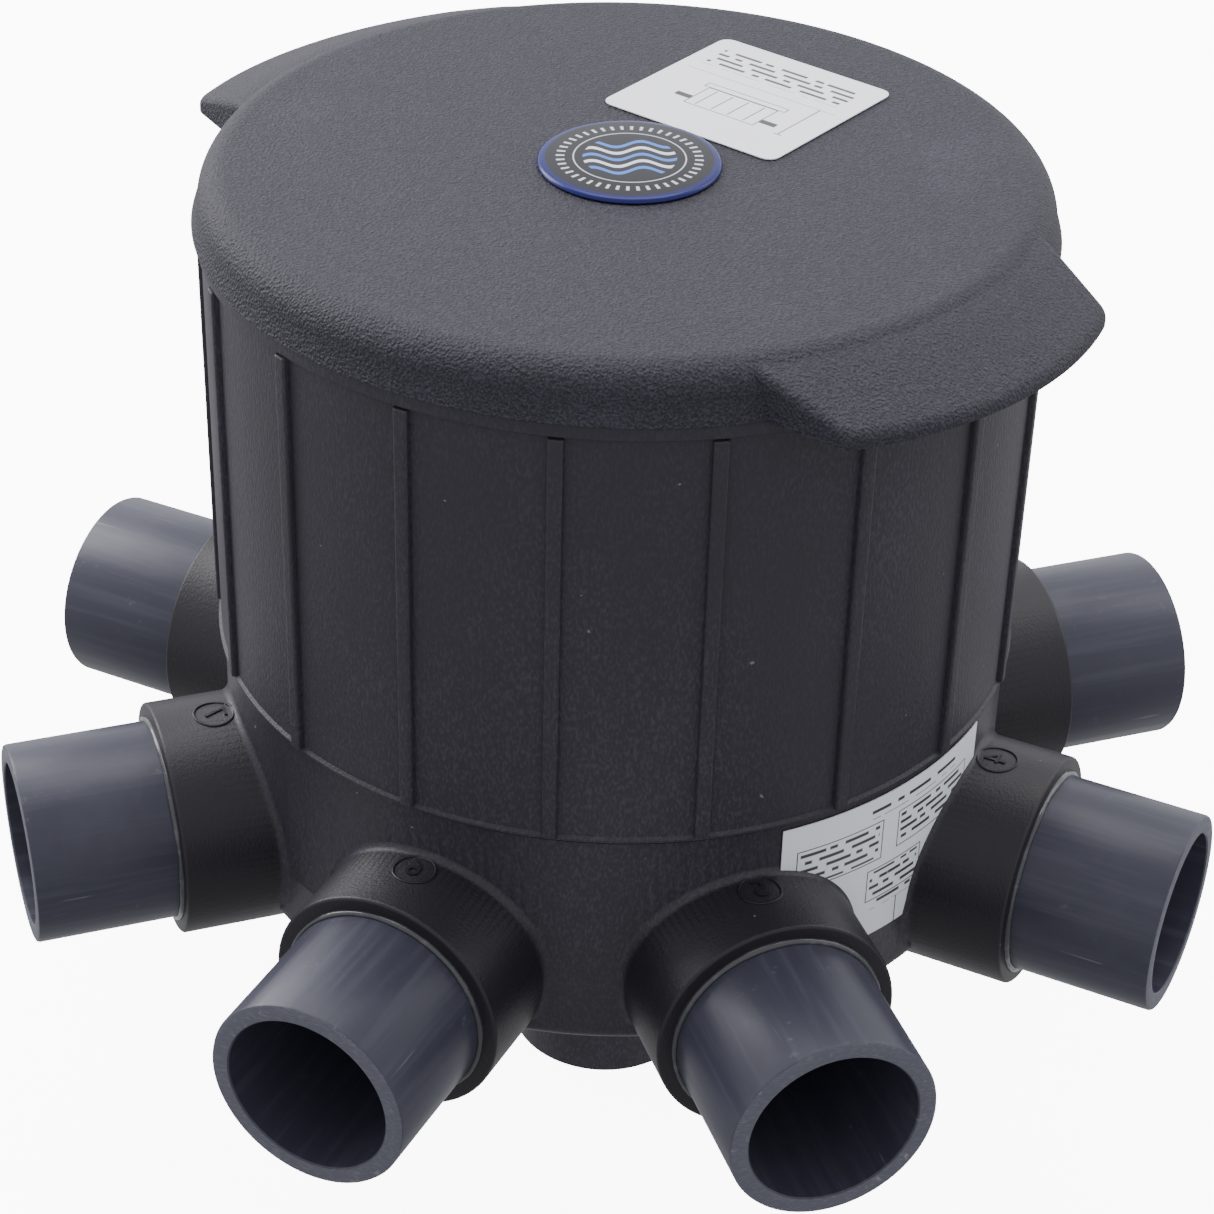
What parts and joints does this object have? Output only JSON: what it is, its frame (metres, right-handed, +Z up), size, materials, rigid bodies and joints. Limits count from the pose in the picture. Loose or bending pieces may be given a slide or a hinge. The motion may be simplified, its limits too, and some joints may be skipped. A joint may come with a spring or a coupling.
{
  "type": "pool water distribution valve",
  "caption": "Water distribution valve: ribbed round canister with a twist-off winged cover, radial cut pipe outlets, a bottom inlet, and a turbine and gear train turning a distributor disc.",
  "frame": {"origin": "centre of the inlet spigot's end face, on the plane the valve stands on", "axes": "+Z up along the inlet, the canister and the main shaft; -Y towards the side between outlets 5 and 6"},
  "size_m": [0.3698, 0.3698, 0.3172],
  "materials": {
    "cover_plastic": "fine pebble grain, dark grey",
    "body_plastic": "satin black moulding",
    "pipe_plastic": "smooth grey extruded pipe",
    "badge_plastic": "gloss blue with a dark centre",
    "label_film": "white printed film",
    "seal_rubber": "matte black",
    "gear_acetal": "natural white acetal",
    "stainless_steel": "plain",
    "inner_plastic": "satin dark grey"
  },
  "bodies": {
    "valve_body": {"barrel": "body_plastic", "barrel_gasket": "seal_rubber", "body_label": "label_film", "gearbox_case": "inner_plastic", "gearbox_cover": "inner_plastic", "gearbox_screw_1": "stainless_steel", "gearbox_screw_2": "stainless_steel", "gearbox_screw_3": "stainless_steel", "idler_axle": "stainless_steel", "inlet_stator": "inner_plastic", "lower_body": "body_plastic", "pipe_stub_1": "pipe_plastic", "pipe_stub_2": "pipe_plastic", "pipe_stub_3": "pipe_plastic", "pipe_stub_4": "pipe_plastic", "pipe_stub_5": "pipe_plastic", "pipe_stub_6": "pipe_plastic", "pipe_stub_7": "pipe_plastic", "pipe_stub_8": "pipe_plastic", "port_plate": "inner_plastic", "thrust_washer": "inner_plastic", "turbine_tube": "inner_plastic"},
    "pressure_lid": {"lid_plate": "inner_plastic", "lid_o_ring": "seal_rubber", "lid_pivot_washer": "seal_rubber"},
    "cover_cap": {"cover": "cover_plastic", "badge": "badge_plastic", "cover_label": "label_film", "lid_pivot_screw": "stainless_steel"},
    "distributor": {"distributor_disc": "gear_acetal", "distributor_wear_pad": "seal_rubber"},
    "second_gear": {"output_gear": "gear_acetal"},
    "first_gear": {"idler_gear": "gear_acetal"},
    "turbine": {"impeller": "gear_acetal", "impeller_shaft": "stainless_steel", "drive_pinion": "gear_acetal"}
  },
  "joints": [
    {"name": "lid_lift", "type": "slide", "parent": "valve_body", "child": "pressure_lid", "axis": [0, 0, 1], "range_m": [0, 0.15]},
    {"name": "cover_turn", "type": "hinge", "parent": "pressure_lid", "child": "cover_cap", "pos_m": [0, 0, 0.3], "axis": [0, 0, -1], "range_deg": [0, 30]},
    {"name": "distributor_turn", "type": "hinge", "parent": "valve_body", "child": "distributor", "pos_m": [0, 0, 0.17], "axis": [0, 0, 1], "continuous": true},
    {"name": "second_gear_turn", "type": "hinge", "parent": "valve_body", "child": "second_gear", "pos_m": [0, 0.0525, 0.24], "axis": [0, 0, 1], "continuous": true},
    {"name": "first_gear_turn", "type": "hinge", "parent": "valve_body", "child": "first_gear", "pos_m": [-0.01452, 0.02625, 0.235], "axis": [0, 0, 1], "continuous": true},
    {"name": "turbine_turn", "type": "hinge", "parent": "valve_body", "child": "turbine", "pos_m": [0, 0, 0.2], "axis": [0, 0, 1], "continuous": true}
  ],
  "couplings": [
    {"joint": "second_gear_turn", "follows": "distributor_turn", "ratio": -4},
    {"joint": "first_gear_turn", "follows": "distributor_turn", "ratio": 12},
    {"joint": "turbine_turn", "follows": "distributor_turn", "ratio": -36}
  ]
}
